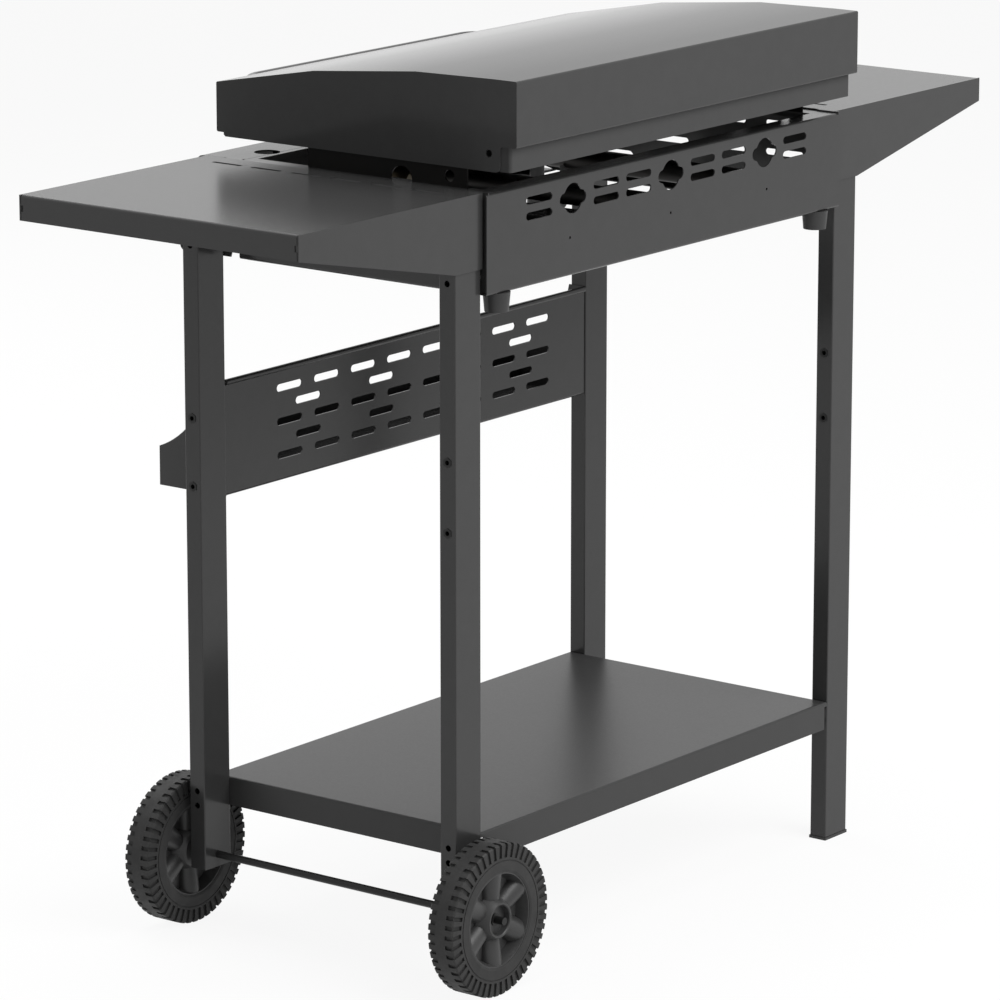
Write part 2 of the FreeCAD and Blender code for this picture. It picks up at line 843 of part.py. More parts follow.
def on_axle(shape, row):
    placed = shape.copy()
    if row > 0:
        placed.rotate(ORIGIN, Z_AXIS, 180)
    placed.translate(V(-leg_x, row * (wheel_reach - wheel_width / 2), wheel_radius))
    return placed


# Griddle head

def clover(x):
    # a round hole with a level arm each side; small arcs lead from the circle to the arms
    big = clover_radius
    small = clover_arm_width / 2
    f = clover_fillet
    arm = clover_arm_length / 2 - small
    along = ((big + f) ** 2 - (small + f) ** 2 + arm ** 2) / (2 * arm)
    rise = math.sqrt((big + f) ** 2 - along ** 2)
    corner = V(along, 0, rise)
    on_circle = corner * (big / (big + f))
    on_arm = V(arm, 0, 0) + (corner - V(arm, 0, 0)) * (small / (small + f))
    inward = (on_circle - corner).normalize() + (on_arm - corner).normalize()
    between = corner + inward.normalize() * f
    centre = V(x, back_face - sheet, clover_height_mid)

    def at(point, sx, sz):
        return centre + V(sx * point.x, 0, sz * point.z)

    edges = []
    for sx in (-1, 1):
        for sz in (-1, 1):
            edges.append(Part.Arc(at(on_circle, sx, sz), at(between, sx, sz), at(on_arm, sx, sz)))
        edges.append(Part.Arc(at(on_arm, sx, -1), at(V(arm + small, 0, 0), sx, 1), at(on_arm, sx, 1)))
        edges.append(Part.Arc(at(on_circle, -1, sx), at(V(0, 0, big), 1, sx), at(on_circle, 1, sx)))
    wire = Part.Wire(Part.__sortEdges__([edge.toShape() for edge in edges]))
    return Part.Face(wire).extrude(V(0, 5 * sheet, 0))


def back_panel():
    mid = back_face + sheet / 2
    top = body_top - sheet / 2
    low = body_bottom + sheet / 2
    face = sheet_along_x([(back_face + back_flange_top, top), (mid, top), (mid, low),
                          (back_face + back_flange_bottom, low)], -panel_half, panel_half)
    pieces = [face]
    ear_low = body_bottom + bend + bend_clearance
    ear_top = body_top - bend - bend_clearance
    tools = []
    for side, _ in side_names:
        pieces.append(box(side * (body_half - sheet), side * body_half, back_face + bend,
                          back_face + panel_return, ear_low, ear_top))
        tools.append(box(side * body_half, side * inner_x, back_face + sheet, back_face + panel_return,
                         body_bottom - 1, body_top + 1))
    for i in (-1, 0, 1):
        tools.append(clover(i * clover_pitch))
        spot = V(i * burner_pitch, back_face - 1, burner_screw_height)
        tools.append(rod(burner_hole_radius, spot, spot + Y_AXIS * tool_reach))
    for column in vent_slot_columns:
        for x in (-column, column):
            for z in vent_slot_rows:
                tools.append(slot_bar(V(x, mid, z), X_AXIS, Y_AXIS,
                                      vent_slot_length, vent_slot_width, 3 * sheet))
    for side, _ in side_names:
        tools.append(rod(bolt_radius, V(side * (body_half - 3), -leg_y, head_bolt_height),
                         V(side * (body_half + 1), -leg_y, head_bolt_height)))
        hole = V(side * flange_hole_x, back_face + flange_hole_back, body_top + 1)
        tools.append(rod(flange_hole_radius, hole, hole - Z_AXIS * tool_reach))
    return cut(fuse(pieces), tools)


def side_wall(side):
    # a channel that laps the ears of the back and front panels on their outer side
    mid = side_wall_x - sheet / 2
    top = body_top - sheet / 2
    low = body_bottom + sheet / 2
    inner = side_wall_x - side_wall_flange
    start = back_face + back_flange_top
    end = deck_back + side_wall_lap
    ledge = mid + side_wall_ledge
    under = top - side_wall_ledge_low
    wall = sheet_along_y([(inner, top), (ledge, top), (ledge, under), (mid, under - side_wall_ledge_slope),
                          (mid, low), (inner, low)], start, end)
    tools = [box(inner - 1, body_half, deck_back, end + 1, body_bottom - 1, body_top + 1),
             box(inner - 1, inner_x, deck_back, end + 1, body_top - side_wall_lap_drop, body_top + 1)]
    for i in range(side_slot_count):
        y = (i - (side_slot_count - 1) / 2) * side_slot_pitch
        for z in side_slot_rows:
            tools.append(slot_bar(V(mid, y, z), Y_AXIS, X_AXIS, side_slot_length, side_slot_width,
                                  2 * sheet))
    notch_ends = ((start - side_notch_corner, -side_notch_inset),
                  (side_notch_inset, end + side_notch_corner))
    for y0, y1 in notch_ends:
        notch = box(body_half - 1, side_wall_x + 1, y0, y1, side_notch_bottom, side_notch_top)
        level = [e for e in notch.Edges if abs(e.Vertexes[0].X - e.Vertexes[1].X) > sheet]
        tools.append(notch.makeFillet(side_notch_corner, level))
    return on_side(cut(wall, tools), side)


def fascia_point(height):
    return deck_front + (body_top - height) * math.tan(fascia_tilt)


def front_panel():
    top = body_top - sheet / 2
    low = body_bottom + sheet / 2
    inset = sheet / 2 / math.cos(fascia_tilt)
    face = sheet_along_x([(deck_back + sheet / 2, body_top - deck_back_flange),
                          (deck_back + sheet / 2, top),
                          (fascia_point(top) - inset, top),
                          (fascia_point(low) - inset, low),
                          (fascia_foot - fascia_return, low)], -body_half, body_half, fascia_bend)
    pieces = [face]
    for side, _ in side_names:
        start = side * body_half
        outline = [(start, deck_back + sheet, body_top - fascia_bend - sheet),
                   (start, deck_back + sheet + fascia_bend, top),
                   (start, deck_front - fascia_bend, top),
                   (start, fascia_point(body_top - fascia_bend) - sheet, body_top - fascia_bend),
                   (start, fascia_point(body_bottom + fascia_bend) - sheet, body_bottom + fascia_bend),
                   (start, fascia_foot - fascia_return, body_bottom + sheet / 2),
                   (start, half_depth - leg_deep - panel_ear_margin, body_bottom + sheet / 2),
                   (start, deck_back + sheet, body_top - deck_back_flange)]
        pieces.append(polygon_prism(outline, V(-side * sheet, 0, 0)))
    tools = [box(-fascia_window_half, fascia_window_half, fascia_foot - fascia_return - 1,
                 fascia_foot - fascia_window_rim, body_bottom - 1, body_bottom + sheet + bend_clearance)]
    for x in burner_places:
        spot = V(x, fascia_centre_y, fascia_centre_height)
        tools.append(rod(fascia_hole_radius, spot - knob_axis * tool_reach, spot + knob_axis * tool_reach))
    drain = V(drain_x, drain_y, body_top + 2)
    screw = V(-inner_x + deck_screw_inset, deck_back + deck_screw_back, body_top + 2)
    for spot, radius in ((drain, drain_hole_radius), (screw, deck_screw_radius)):
        tools.append(rod(radius, spot, spot - Z_AXIS * tool_reach))
    for side, _ in side_names:
        tools.append(rod(bolt_radius, V(side * (body_half - 3), leg_y, head_bolt_height),
                         V(side * (body_half + 1), leg_y, head_bolt_height)))
    return cut(fuse(pieces), tools)


def head_spacers():
    spacers = []
    for side, _ in side_names:
        for row, _ in row_names:
            start = V(body_half, row * leg_y, head_bolt_height)
            end = V(inner_x, row * leg_y, head_bolt_height)
            ring = rod(bolt_head_radius + 1, start, end).cut(rod(bolt_radius, start, end))
            spacers.append(on_side(ring, side))
    return Part.makeCompound(spacers)


def head_feet():
    feet = []
    for side, _ in side_names:
        for y in (back_face + back_foot_inset, fascia_foot - front_foot_inset):
            top = V(side * (inner_x - foot_inset), y, body_bottom)
            feet.append(cone(foot_top_radius, foot_bottom_radius, top, top - Z_AXIS * foot_height))
    return Part.makeCompound(feet)


def burner_strap():
    # a flat bar across the body whose joggled ends lie on the flanges of the side walls
    low = body_bottom + sheet / 2
    inner = side_wall_x - side_wall_flange - bend_clearance
    start = inner - strap_joggle
    reach = body_half - strap_end_inset
    strap = sheet_along_y([(-reach, low + sheet), (-inner, low + sheet), (-start, low), (start, low),
                           (inner, low + sheet), (reach, low + sheet)],
                          strap_back, strap_back + strap_width, sheet)
    pieces = [strap]
    middle = strap_back + strap_width / 2
    for x in burner_places:
        saddle = box(x - saddle_width / 2, x + saddle_width / 2, middle - sheet / 2, middle + sheet / 2,
                     low, burner_height - burner_radius + saddle_grip)
        seat = V(x, middle - sheet, burner_height)
        pieces.append(saddle.cut(rod(burner_radius + running_clearance, seat, seat + Y_AXIS * (2 * sheet))))
    return fuse(pieces)


def heat_shield():
    # a plate over the floor's middle opening that lies on the strap and the back panel's flange
    low = body_bottom + sheet
    plate = box(-shield_half, shield_half, back_face + sheet + shield_back_gap, shield_front,
                low, low + sheet)
    middle = strap_back + strap_width / 2
    return plate.cut(box(-shield_cut_half, shield_cut_half, middle - shield_cut_margin,
                         middle + shield_cut_margin, low - 1, low + 2 * sheet))


def burner(x):
    # a round tube with two rows of ports, a tail tab for its screw and a narrower mouth
    tail = back_face + sheet
    start = tail + burner_tail
    body = rod(burner_radius, V(x, start, burner_height), V(x, burner_front, burner_height))
    tab = box(x - burner_tab_half, x + burner_tab_half, tail, start + 1,
              burner_screw_height - burner_tab_drop, burner_height)
    neck = cone(burner_radius, burner_neck_radius, V(x, burner_front, burner_height),
                V(x, burner_neck_end, burner_height))
    mouth = rod(burner_neck_radius, V(x, burner_neck_end, burner_height),
                V(x, burner_mouth_end, burner_height))
    hollow = rod(burner_mouth_radius, V(x, burner_mouth_end - burner_mouth_depth, burner_height),
                 V(x, burner_mouth_end + 1, burner_height))
    pin = rod(burner_hole_radius, V(x, tail - 1, burner_screw_height),
              V(x, tail + burner_pin_depth, burner_screw_height))
    tools = [hollow, pin]
    run = burner_front - start - 2 * port_margin
    for i in range(port_count):
        y = start + port_margin + run * i / (port_count - 1)
        for way in (-1, 1):
            out = V(way * math.sqrt(0.5), 0, math.sqrt(0.5))
            spot = V(x, y, burner_height)
            tools.append(rod(port_radius, spot + out * (burner_radius - port_depth),
                             spot + out * (burner_radius + 1)))
    return cut(fuse([body, tab, neck, mouth]), tools)


def igniter_electrodes():
    parts = []
    for x in burner_places:
        foot = V(x, burner_front - electrode_inset, burner_height + burner_radius)
        clip = box(x - electrode_clip_half_x, x + electrode_clip_half_x, foot.y - electrode_clip_half_y,
                   foot.y + electrode_clip_half_y, foot.z - electrode_clip_lap,
                   foot.z + electrode_clip_rise)
        axis = foot - Z_AXIS * burner_radius
        tube = rod(burner_radius + running_clearance, axis - Y_AXIS * tool_reach,
                   axis + Y_AXIS * tool_reach)
        shoulder = foot + Z_AXIS * electrode_body_top
        body = rod(electrode_body_radius, foot + Z_AXIS * electrode_clip_rise, shoulder)
        tip = rod(electrode_tip_radius, shoulder, foot + Z_AXIS * electrode_tip_top)
        parts.append(fuse([clip.cut(tube), body, tip]))
    return Part.makeCompound(parts)


def valve(x):
    # the body sits on the manifold, its nozzle enters the burner's mouth
    centre = V(x, valve_y, valve_z)
    half = knob_axis * (valve_length / 2)
    bar = rod(valve_radius, centre - half, centre + half)
    saddle = box(x - valve_saddle_half_x, x + valve_saddle_half_x, valve_y - valve_saddle_half_y,
                 valve_y + valve_saddle_half_y, valve_z - manifold_drop + manifold_radius / 2, valve_z)
    nozzle_end = V(x, valve_y - nozzle_reach, burner_height)
    nozzle = rod(nozzle_radius, V(x, valve_y, burner_height), nozzle_end)
    below = centre - Z_AXIS * manifold_drop
    pipe = rod(manifold_radius + running_clearance, below - X_AXIS * (2 * valve_radius),
               below + X_AXIS * (2 * valve_radius))
    bore_start = centre + knob_axis * (valve_length / 2 - stem_in_valve)
    bore = rod(stem_radius + running_clearance, bore_start, centre + knob_axis * valve_length)
    orifice = rod(orifice_radius, nozzle_end - Y_AXIS, nozzle_end + Y_AXIS * orifice_depth)
    return cut(fuse([bar, saddle, nozzle]), [pipe, bore, orifice])


def manifold():
    z = valve_z - manifold_drop
    start = V(manifold_end_wheel_side, valve_y, z)
    pipe = rod(manifold_radius, start, V(manifold_end_foot_side, valve_y, z))
    return pipe.cut(rod(manifold_radius - manifold_wall, start + X_AXIS * manifold_plug,
                        V(manifold_end_foot_side + 1, valve_y, z)))


def manifold_brackets():
    brackets = []
    z = valve_z - manifold_drop
    for x in (-burner_pitch / 2, burner_pitch / 2):
        middle = V(x, valve_y, z)
        half = X_AXIS * bracket_half
        ring = rod(manifold_radius + bracket_ring, middle - half, middle + half)
        top = body_top - sheet - bracket_thick / 2
        hanger = sheet_along_x([(valve_y, z + manifold_radius), (valve_y, top),
                                (valve_y + bracket_flange, top)],
                               x - bracket_half, x + bracket_half, bracket_bend, bracket_thick)
        hole = rod(manifold_radius, middle - half * 2, middle + half * 2)
        brackets.append(fuse([ring, hanger]).cut(hole))
    return Part.makeCompound(brackets)


def gas_inlet():
    # a drop pipe at the end of the manifold, turned to the back, with a flare thread
    z = valve_z - manifold_drop
    x = manifold_end_foot_side + inlet_body_radius
    r = inlet_body_radius
    foot = V(x, valve_y, inlet_height)
    upper = rod(r, V(x, valve_y, z + r), V(x, valve_y, z - r))
    lower = rod(r, foot + Z_AXIS * r, foot - Z_AXIS * r)
    drop = rod(manifold_radius, foot, V(x, valve_y, z))
    inset = V(x - r - inlet_socket_lap, valve_y, z)
    socket = rod(r - 1, inset, V(x, valve_y, z))
    nut_end = foot - Y_AXIS * inlet_nut_end
    nut = hexagon(nut_end, Y_AXIS, inlet_nut_flats, inlet_nut_end)
    thread = rod(inlet_radius, nut_end - Y_AXIS * inlet_length, nut_end)
    hollow = rod(manifold_radius, inset - X_AXIS, V(manifold_end_foot_side, valve_y, z))
    way = rod(inlet_bore_radius, nut_end - Y_AXIS * (inlet_length + 1), foot)
    rise = rod(inlet_bore_radius, foot, V(x, valve_y, z))
    return cut(fuse([upper, lower, drop, socket, nut, thread]), [hollow, way, rise])


def upright_knob():
    # drawn with the fascia at z = 0 and the axis along +Z
    low = bezel_thick + knob_gap
    skirt = cone(knob_skirt_radius, knob_skirt_radius - 2, V(0, 0, low), V(0, 0, low + knob_skirt_height))
    grip = cone(knob_grip_radius, knob_grip_radius - 2, V(0, 0, low), V(0, 0, low + knob_height))
    keep = box(-knob_blade_width / 2, knob_blade_width / 2, -knob_skirt_radius, knob_skirt_radius,
               0, 2 * knob_height)
    blade = grip.common(keep)
    collar = rod(knob_collar_radius, V(0, 0, low), V(0, 0, low + knob_skirt_height + knob_collar_rise))
    bore = rod(stem_radius, V(0, 0, low - 1), V(0, 0, low + knob_height * knob_bore_share))
    return fuse([skirt, blade, collar]).cut(bore)


def on_fascia(shape, x):
    placed = shape.copy()
    spot = V(x, fascia_centre_y, fascia_centre_height)
    placed.Placement = FreeCAD.Placement(spot, FreeCAD.Rotation(Z_AXIS, knob_axis))
    return placed


def upright_stem():
    start = -valve_behind_fascia + valve_length / 2 - stem_in_valve + touch_gap
    end = bezel_thick + knob_gap + knob_height * knob_bore_share
    return rod(stem_radius, V(0, 0, start), V(0, 0, end))


def bezels():
    rings = []
    for x in burner_places:
        ring = cone(bezel_radius, bezel_radius - 1, V(0, 0, 0), V(0, 0, bezel_thick))
        ring = ring.cut(rod(fascia_hole_radius, V(0, 0, -1), V(0, 0, bezel_thick + 1)))
        rings.append(on_fascia(ring, x))
    return Part.makeCompound(rings)


def griddle_plate():
    h = plate_half
    top = plate_bottom + plate_thick
    outer = box(-h, h, plate_back, plate_front, plate_bottom, plate_bottom + plate_back_height)
    outer = outer.makeFillet(plate_corner, upright_edges(outer))
    w = plate_wall
    inner = box(-h + w, h - w, plate_back + w, plate_front - w, top, top + 100)
    inner = inner.makeFillet(plate_corner - w, upright_edges(inner))
    slope_start = plate_front - plate_slope_back
    slope_end = plate_front - plate_slope_front
    front_top = plate_bottom + plate_front_height
    rim_top = plate_bottom + plate_back_height
    lower = polygon_prism([(-h - 1, slope_start, rim_top), (-h - 1, slope_end, front_top),
                           (-h - 1, plate_front + 1, front_top), (-h - 1, plate_front + 1, rim_top + 1),
                           (-h - 1, slope_start, rim_top + 1)], V(2 * h + 2, 0, 0))
    drain = rod(plate_drain_radius, V(drain_x, drain_y, plate_bottom - 1), V(drain_x, drain_y, top + 1))
    pieces = [cut(outer, [inner, lower, drain])]
    for side, _ in side_names:
        pieces.append(on_side(plate_skirt(), side))
        pieces.append(on_side(hinge_ear(), side))
    return fuse(pieces)


def plate_skirt():
    # a strip under each end of the plate that stands on the body, with air notches
    x = plate_half - skirt_thick
    strip = box(x, plate_half, plate_back + skirt_back_inset, plate_front - skirt_front_inset,
                body_top, plate_bottom)
    low = V(x - 1, plate_back + skirt_notch_inset, body_top + skirt_notch_drop)
    notch = rod(skirt_notch_radius, low, low + X_AXIS * tool_reach)
    high = V(x - 1, plate_back + skirt_hole_inset, body_top + skirt_hole_height)
    hole = rod(skirt_hole_radius, high, high + X_AXIS * tool_reach)
    return cut(strip, [notch, hole])


def hinge_ear():
    x = plate_half - plate_wall
    arm = box(x, plate_half, hinge_y, plate_back + plate_corner, hinge_z - hinge_ear_radius,
              hinge_z + hinge_ear_radius)
    tip = rod(hinge_ear_radius, V(x, hinge_y, hinge_z), V(plate_half, hinge_y, hinge_z))
    hole = rod(hinge_pin_radius, V(x - 1, hinge_y, hinge_z), V(plate_half + 1, hinge_y, hinge_z))
    return fuse([arm, tip]).cut(hole)


def hinge_pins():
    pins = []
    for side, _ in side_names:
        seat = plate_half - plate_wall
        inside = V(seat, hinge_y, hinge_z)
        head = rod(hinge_head_radius, inside - X_AXIS * hinge_head_height, inside)
        end = V(lid_half - hinge_pin_recess, hinge_y, hinge_z)
        pin = rod(hinge_pin_radius, inside, end)
        bore = rod(hinge_bore_radius, end - X_AXIS * hinge_bore_depth, end + X_AXIS)
        pins.append(on_side(fuse([head, pin]).cut(bore), side))
    return Part.makeCompound(pins)


def hinge_washers():
    washers = []
    for side, _ in side_names:
        start = V(plate_half, hinge_y, hinge_z)
        end = V(lid_inner - touch_gap, hinge_y, hinge_z)
        ring = rod(hinge_washer_radius, start, end).cut(rod(hinge_pin_radius, start, end))
        washers.append(on_side(ring, side))
    return Part.makeCompound(washers)


def plate_posts():
    posts = []
    for side, _ in side_names:
        foot = V(side * plate_post_spread, plate_front - plate_post_inset, body_top)
        posts.append(rod(plate_post_radius, foot, V(foot.x, foot.y, plate_bottom)))
    return Part.makeCompound(posts)


# Lid

def lid_profile():
    # the middle line of the skin: back hem, back wall, crown in flat runs, front wall, front hem
    mid = sheet / 2
    back = lid_back + mid
    front = lid_front - mid
    run = lid_front - lid_back
    points = [(lip_back + 2 * sheet, lid_back_edge + mid), (back, lid_back_edge + mid),
              (back, lid_top - mid)]
    for share, drop in lid_crown[:-1]:
        points.append((lid_back + share * run, lid_top - drop - mid))
    points.append((front, lid_top - lid_crown[-1][1] - mid))
    points += [(front, lid_front_edge + mid), (lid_front - lid_hem, lid_front_edge + mid)]
    return points


def lid_skin():
    return sheet_along_x(lid_profile(), -lid_inner, lid_inner, lid_bend)


def lid_end(side):
    # a plate with the skin's outline above and a notched straight edge below
    x = lid_inner
    steps = side_path([V(y, z, 0) for y, z in lid_profile()], sheet / 2, lid_bend)
    edges = []
    for step in steps:
        spots = [V(x, p.x, p.y) for p in step]
        if len(spots) == 3:
            edges.append(Part.Arc(*spots).toShape())
        else:
            edges.append(Part.LineSegment(*spots).toShape())
    first = V(x, steps[0][0].x, steps[0][0].y)
    last = V(x, steps[-1][-1].x, steps[-1][-1].y)
    low = lid_end_bottom
    back = lid_end_back
    corner = lid_end_corner
    notch = lid_end_notch
    curve = 1 - math.sqrt(0.5)
    ring = [last, V(x, last.y, low + 2), V(x, last.y - 2, low), V(x, back + corner, low)]
    edges += [Part.LineSegment(a, b).toShape() for a, b in zip(ring, ring[1:])]
    low_end = V(x, back, low + corner)
    curl = V(x, back + corner * curve, low + corner * curve)
    edges.append(Part.Arc(ring[-1], curl, low_end).toShape())
    high_end = V(x, back, lid_back_edge - notch)
    edges.append(Part.LineSegment(low_end, high_end).toShape())
    under = V(x, back - notch, lid_back_edge)
    hollow = V(x, back - notch * curve, lid_back_edge - notch * curve)
    edges.append(Part.Arc(high_end, hollow, under).toShape())
    edges.append(Part.LineSegment(under, first).toShape())
    plate = Part.Face(Part.Wire(Part.__sortEdges__(edges))).extrude(V(sheet, 0, 0))
    hole = rod(hinge_pin_radius + running_clearance, V(x - 1, hinge_y, hinge_z),
               V(x + sheet + 1, hinge_y, hinge_z))
    return on_side(plate.cut(hole), side)


def lid_back_lip():
    # a band under the back skirt that turns in along both end plates
    x = lid_inner - sheet / 2
    y = lip_back + sheet / 2
    inner = lid_back + lip_return_inset
    return sheet_along_z([(-x, inner), (-x, y), (x, y), (x, inner)],
                         lip_bottom, lid_back_edge, lip_corner)


def lid_handle():
    # one tube bent into a wide U, its ends against the front skirt
    half = handle_half - handle_radius
    r = handle_bend
    y0 = lid_front + handle_foot_thick
    path = []
    spots = [V(-half, y0, handle_z), V(-half, handle_y - r, handle_z),
             V(-half + r, handle_y, handle_z), V(half - r, handle_y, handle_z),
             V(half, handle_y - r, handle_z), V(half, y0, handle_z)]
    c = r * (1 - math.sqrt(0.5))
    path.append(Part.LineSegment(spots[0], spots[1]).toShape())
    path.append(Part.Arc(spots[1], V(-half + c, handle_y - c, handle_z), spots[2]).toShape())
    path.append(Part.LineSegment(spots[2], spots[3]).toShape())
    path.append(Part.Arc(spots[3], V(half - c, handle_y - c, handle_z), spots[4]).toShape())
    path.append(Part.LineSegment(spots[4], spots[5]).toShape())
    ring = Part.Wire(Part.makeCircle(handle_radius, spots[0], Y_AXIS))
    return Part.Wire(path).makePipeShell([ring], True, False)


def handle_feet():
    feet = []
    for side, _ in side_names:
        x = side * (handle_half - handle_radius)
        feet.append(rod(handle_foot_radius, V(x, lid_front, handle_z),
                        V(x, lid_front + handle_foot_thick, handle_z)))
    return Part.makeCompound(feet)


def lid_bumpers():
    bumpers = []
    for side, _ in side_names:
        foot = V(side * bumper_x, lid_front - bumper_inset, body_top)
        bumpers.append(rod(bumper_radius, foot, V(foot.x, foot.y, lid_front_edge - touch_gap)))
    return Part.makeCompound(bumpers)


# Grease cup

def cup_bounds():
    x0 = drain_x - cup_length / 2
    y0 = deck_back + sheet + cup_back_gap
    return x0, x0 + cup_length, y0, y0 + cup_width


def grease_cup():
    x0, x1, y0, y1 = cup_bounds()
    outer = box(x0, x1, y0, y1, cup_bottom, cup_top)
    outer = outer.makeFillet(cup_corner, upright_edges(outer))
    w = cup_wall
    inner = box(x0 + w, x1 - w, y0 + w, y1 - w, cup_bottom + w, cup_top + 1)
    inner = inner.makeFillet(cup_corner - w, upright_edges(inner))
    rims = [box(x0 - cup_rim, x0 + w, y0 + cup_corner, y1 - cup_corner, cup_top - w, cup_top),
            box(x1 - w, x1 + cup_rim, y0 + cup_corner, y1 - cup_corner, cup_top - w, cup_top)]
    return fuse([outer.cut(inner)] + rims)


def cup_clips():
    x0, x1, y0, y1 = cup_bounds()
    middle = (y0 + y1) / 2
    top = body_top - sheet
    clips = []
    for edge, way in ((x0 - cup_rim - touch_gap, -1), (x1 + cup_rim + touch_gap, 1)):
        mid = edge + way * clip_leaf / 2
        clips.append(sheet_along_y([(mid, cup_top - clip_drop), (mid, top - clip_leaf / 2),
                                    (mid + way * clip_flange, top - clip_leaf / 2)],
                                   middle - clip_leaf_length / 2, middle + clip_leaf_length / 2,
                                   2, clip_leaf))
    return Part.makeCompound(clips)


def build():
    os.makedirs("parts", exist_ok=True)
    for side, side_name in side_names:
        for row, row_name in row_names:
            save("leg_" + row_name + "_" + side_name, leg(side, row))
        save("side_shelf_" + side_name, side_shelf(side))
        save("side_wall_" + side_name, side_wall(side))
        save("lid_end_" + side_name, lid_end(side))
    save("foot_caps", foot_caps())
    save("insert_nuts", insert_nuts())
    save("bottom_shelf", bottom_shelf())
    save("bottom_shelf_bolts", cross_bolts(shelf_bolt_heights, inner_x - sheet))
    save("storage_rack", storage_rack())
    save("rack_bolts", rack_bolts())
    save("axle", axle())
    save("axle_spacers", axle_spacers())
    save("axle_clips", axle_clips())
    hub = wheel_hub()
    tyre = wheel_tyre()
    for row, row_name in row_names:
        save("wheel_hub_" + row_name, on_axle(hub, row))
        save("wheel_tyre_" + row_name, on_axle(tyre, row))
    save("back_panel", back_panel())
    save("front_panel", front_panel())
    save("head_bolts", cross_bolts((head_bolt_height,), body_half - sheet))
    save("head_spacers", head_spacers())
    save("head_feet", head_feet())
    save("burner_strap", burner_strap())
    save("heat_shield", heat_shield())
    knob = upright_knob()
    stem = upright_stem()
    for x, place in zip(burner_places, ("wheel_side", "middle", "foot_side")):
        save("burner_" + place, burner(x))
        save("valve_" + place, valve(x))
        save("valve_stem_" + place, on_fascia(stem, x))
        save("knob_" + place, on_fascia(knob, x))
    save("knob_bezels", bezels())
    save("igniter_electrodes", igniter_electrodes())
    save("manifold", manifold())
    save("manifold_brackets", manifold_brackets())
    save("gas_inlet", gas_inlet())
    save("griddle_plate", griddle_plate())
    save("griddle_posts", plate_posts())
    save("hinge_pins", hinge_pins())
    save("hinge_washers", hinge_washers())
    save("lid_skin", lid_skin())
    save("lid_back_lip", lid_back_lip())
    save("lid_handle", lid_handle())
    save("handle_feet", handle_feet())
    save("lid_bumpers", lid_bumpers())
    save("grease_cup", grease_cup())
    save("cup_clips", cup_clips())


build()
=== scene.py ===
import json
import math

import bmesh
import bpy
from mathutils import Euler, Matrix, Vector


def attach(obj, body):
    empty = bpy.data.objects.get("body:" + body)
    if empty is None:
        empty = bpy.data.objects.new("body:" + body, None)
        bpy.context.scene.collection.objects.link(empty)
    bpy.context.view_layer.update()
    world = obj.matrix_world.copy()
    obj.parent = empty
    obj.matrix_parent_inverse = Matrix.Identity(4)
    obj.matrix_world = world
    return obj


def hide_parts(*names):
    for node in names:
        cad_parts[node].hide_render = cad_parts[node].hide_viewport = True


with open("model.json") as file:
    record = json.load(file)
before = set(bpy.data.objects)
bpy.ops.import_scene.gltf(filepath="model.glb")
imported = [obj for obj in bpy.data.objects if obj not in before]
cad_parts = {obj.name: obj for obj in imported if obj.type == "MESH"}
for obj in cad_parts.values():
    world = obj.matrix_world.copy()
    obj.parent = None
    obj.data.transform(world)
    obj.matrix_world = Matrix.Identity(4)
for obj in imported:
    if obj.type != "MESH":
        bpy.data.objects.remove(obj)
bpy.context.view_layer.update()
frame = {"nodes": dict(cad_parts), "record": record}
nodes = frame["nodes"]


# Camera, solved from the straight edges of the photographed cart

CAMERA_PLACE = (-4.4798, -3.4059, 1.7638)
CAMERA_HEADING = 37.4505
CAMERA_DIP = 13.4684
CAMERA_LENS = 196.963
CAMERA_SENSOR = 36.0
CAMERA_FAR_CLIP = 60.0


def add_camera():
    data = bpy.data.cameras.new("camera")
    data.sensor_width = CAMERA_SENSOR
    data.lens = CAMERA_LENS
    data.clip_end = CAMERA_FAR_CLIP
    camera = bpy.data.objects.new("camera", data)
    camera.location = CAMERA_PLACE
    camera.rotation_euler = Euler((math.radians(90 - CAMERA_DIP), 0, math.radians(CAMERA_HEADING - 90)))
    bpy.context.scene.collection.objects.link(camera)
    bpy.context.scene.camera = camera


# Floor, lights and white surroundings

FLOOR_SIZE = 16.0
FLOOR_WHITE = 0.86
FLOOR_ROUGHNESS = 0.9
FLOOR_GLOW = 0.91
WORLD_LEVEL = 0.3
# name: place, spot it points at, width, height, watts
LIGHTS = {
    "key": ((0.3, -2.4, 2.6), (0, 0, 0.7), 2.4, 1.8, 90),
    "top": ((0.2, 0.4, 4.0), (0, 0, 0.6), 3.2, 3.2, 95),
    "far": ((0.6, 3.4, 2.0), (0, 0, 0.6), 3.0, 1.6, 45),
}


def add_area_light(name, place, target, width, height, watts):
    data = bpy.data.lights.new(name, "AREA")
    data.shape = "RECTANGLE"
    data.size = width
    data.size_y = height
    data.energy = watts
    light = bpy.data.objects.new(name, data)
    light.location = place
    light.rotation_euler = (Vector(target) - Vector(place)).to_track_quat("-Z", "Y").to_euler()
    bpy.context.scene.collection.objects.link(light)


def seen_directly(tree):
    # 1 on rays from the camera, a mirror or glass, 0 on the rays that carry diffuse light
    path = tree.nodes.new("ShaderNodeLightPath")
    total = path.outputs["Is Camera Ray"]
    for name in ("Is Glossy Ray", "Is Transmission Ray"):
        either = tree.nodes.new("ShaderNodeMath")
        either.operation = "MAXIMUM"
        tree.links.new(total, either.inputs[0])
        tree.links.new(path.outputs[name], either.inputs[1])
        total = either.outputs[0]
    return total


